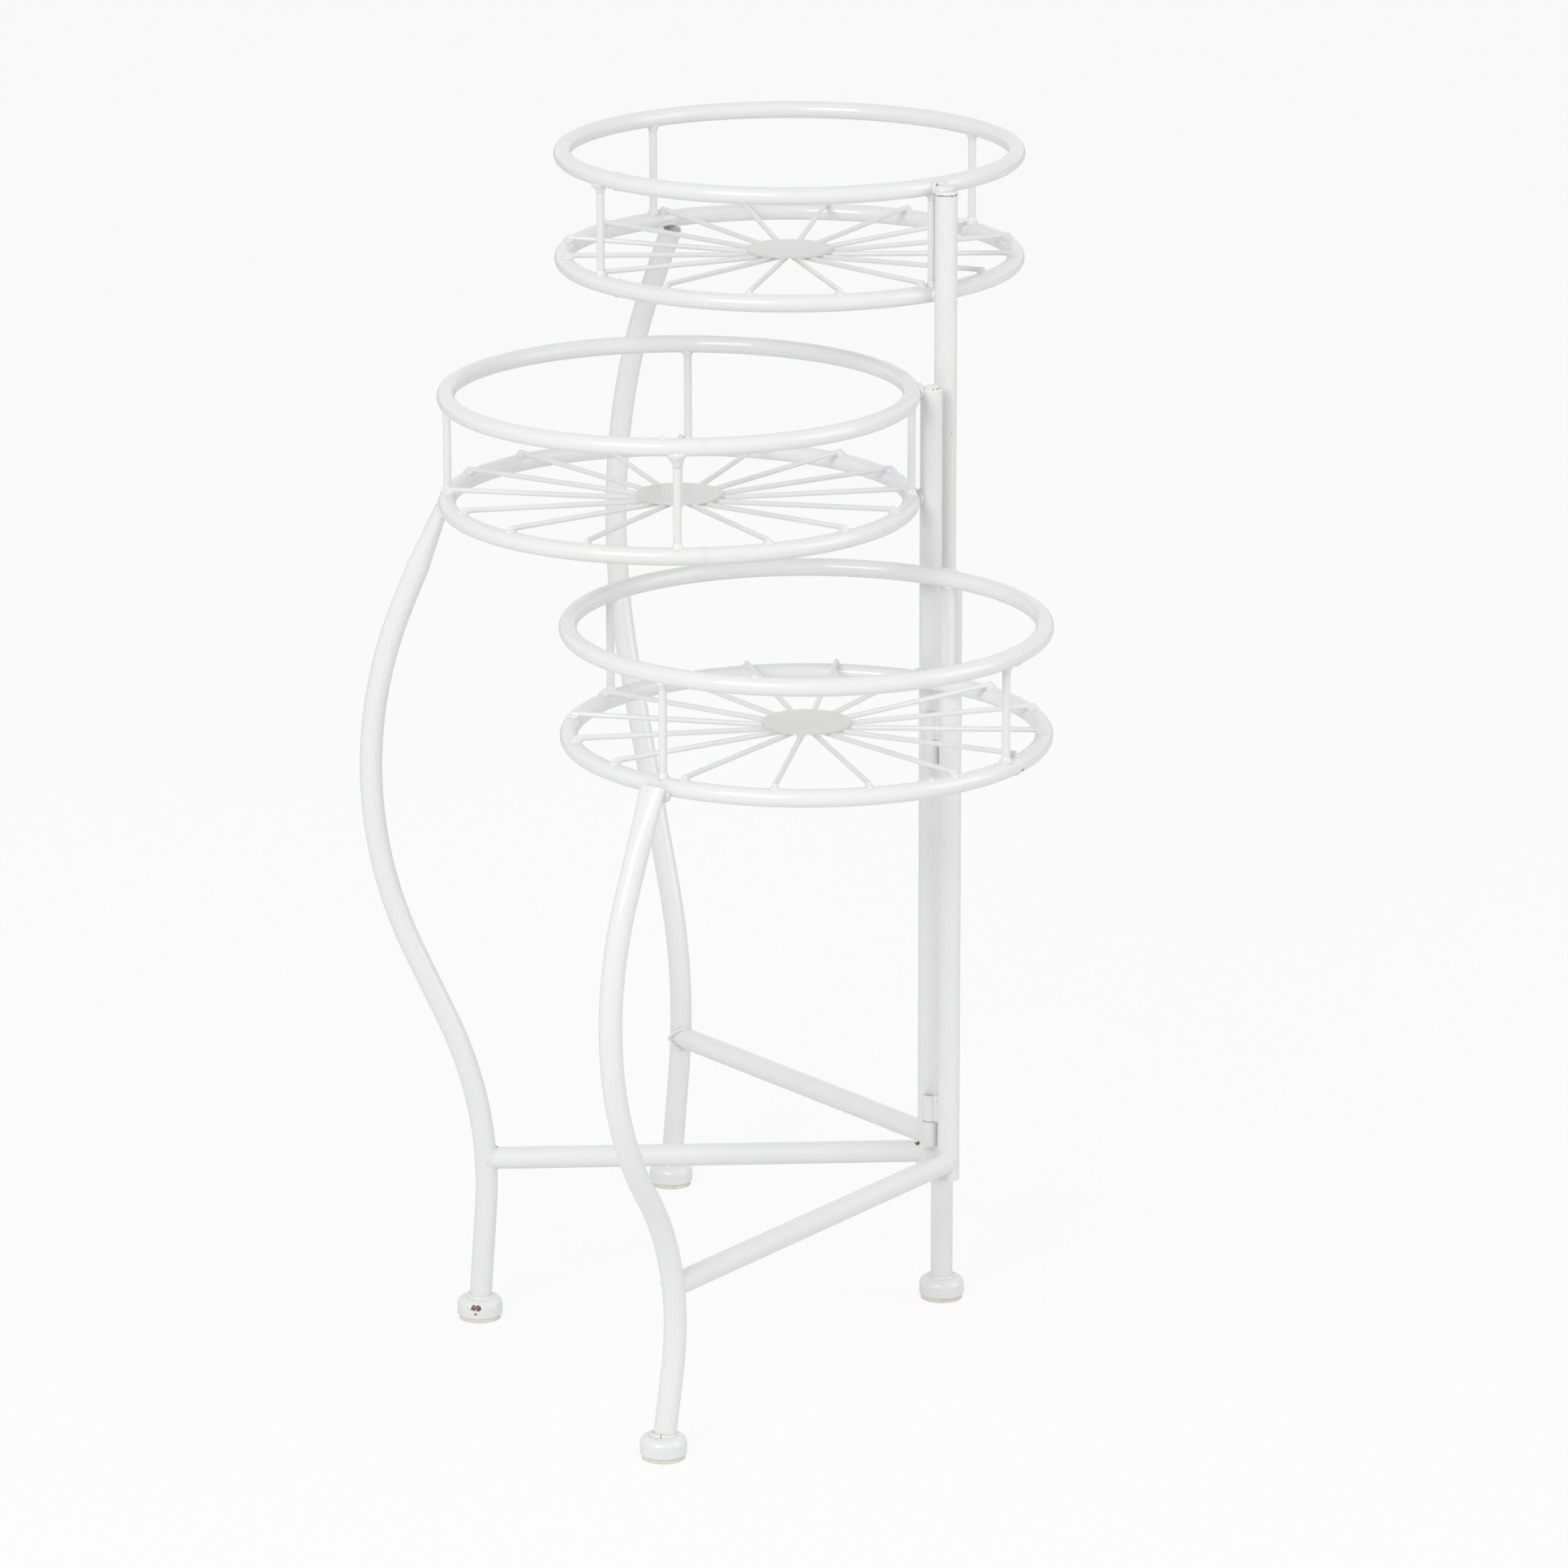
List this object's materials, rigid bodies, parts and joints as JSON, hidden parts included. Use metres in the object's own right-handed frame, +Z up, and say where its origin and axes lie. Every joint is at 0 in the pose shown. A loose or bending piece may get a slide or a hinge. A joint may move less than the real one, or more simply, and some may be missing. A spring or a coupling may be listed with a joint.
{
  "type": "tiered folding plant stand",
  "caption": "Folding metal plant stand: tall, middle and low pot baskets on S-shaped legs, their posts hinged together side by side.",
  "frame": {"origin": "on the floor under the tall post's axis", "axes": "+Z up along the posts; the middle leaf points along -X, the tall leaf to -X and +Y, the low leaf to -X and -Y"},
  "size_m": [0.3866, 0.5642, 0.6622],
  "materials": {
    "painted_tube": "white gloss paint",
    "painted_ring": "white gloss paint",
    "painted_wire": "white gloss paint, thinner on the wire",
    "painted_plate": "white gloss paint",
    "painted_hinge": "white gloss paint, worn where it turns",
    "painted_foot": "white gloss paint, chipped at the rim",
    "painted_cap": "white gloss paint over a pressed dome",
    "hinge_pin": "plain drawn steel",
    "foot_pad": "cream, scuffed"
  },
  "bodies": {
    "leaf_tall": {"back_hinge_high_lower_barrel": "painted_hinge", "back_hinge_high_pin": "hinge_pin", "back_hinge_low_lower_barrel": "painted_hinge", "back_hinge_low_pin": "hinge_pin", "tall_disc": "painted_plate", "tall_leg": "painted_tube", "tall_leg_foot": "painted_foot", "tall_leg_pad": "foot_pad", "tall_lower_ring": "painted_ring", "tall_post": "painted_tube", "tall_post_cap": "painted_cap", "tall_post_foot": "painted_foot", "tall_post_pad": "foot_pad", "tall_spokes": "painted_wire", "tall_stretcher": "painted_tube", "tall_struts": "painted_wire", "tall_upper_ring": "painted_ring"},
    "leaf_middle": {"back_hinge_high_upper_barrel": "painted_hinge", "back_hinge_low_upper_barrel": "painted_hinge", "front_hinge_high_lower_barrel": "painted_hinge", "front_hinge_high_pin": "hinge_pin", "front_hinge_low_lower_barrel": "painted_hinge", "front_hinge_low_pin": "hinge_pin", "middle_disc": "painted_plate", "middle_leg": "painted_tube", "middle_leg_foot": "painted_foot", "middle_leg_pad": "foot_pad", "middle_lower_ring": "painted_ring", "middle_post": "painted_tube", "middle_post_cap": "painted_cap", "middle_spokes": "painted_wire", "middle_stretcher": "painted_tube", "middle_struts": "painted_wire", "middle_upper_ring": "painted_ring"},
    "leaf_low": {"front_hinge_high_upper_barrel": "painted_hinge", "front_hinge_low_upper_barrel": "painted_hinge", "low_disc": "painted_plate", "low_leg": "painted_tube", "low_leg_foot": "painted_foot", "low_leg_pad": "foot_pad", "low_lower_ring": "painted_ring", "low_post": "painted_tube", "low_post_cap": "painted_cap", "low_spokes": "painted_wire", "low_stretcher": "painted_tube", "low_struts": "painted_wire", "low_upper_ring": "painted_ring"}
  },
  "joints": [
    {"name": "back_hinge", "type": "hinge", "parent": "leaf_tall", "child": "leaf_middle", "pos_m": [-0.0093, -0.0082, 0.15], "axis": [0, 0, 1], "range_deg": [-54, 66]},
    {"name": "front_hinge", "type": "hinge", "parent": "leaf_middle", "child": "leaf_low", "pos_m": [-0.0093, -0.033, 0.1198], "axis": [0, 0, 1], "range_deg": [-51, 61]}
  ]
}
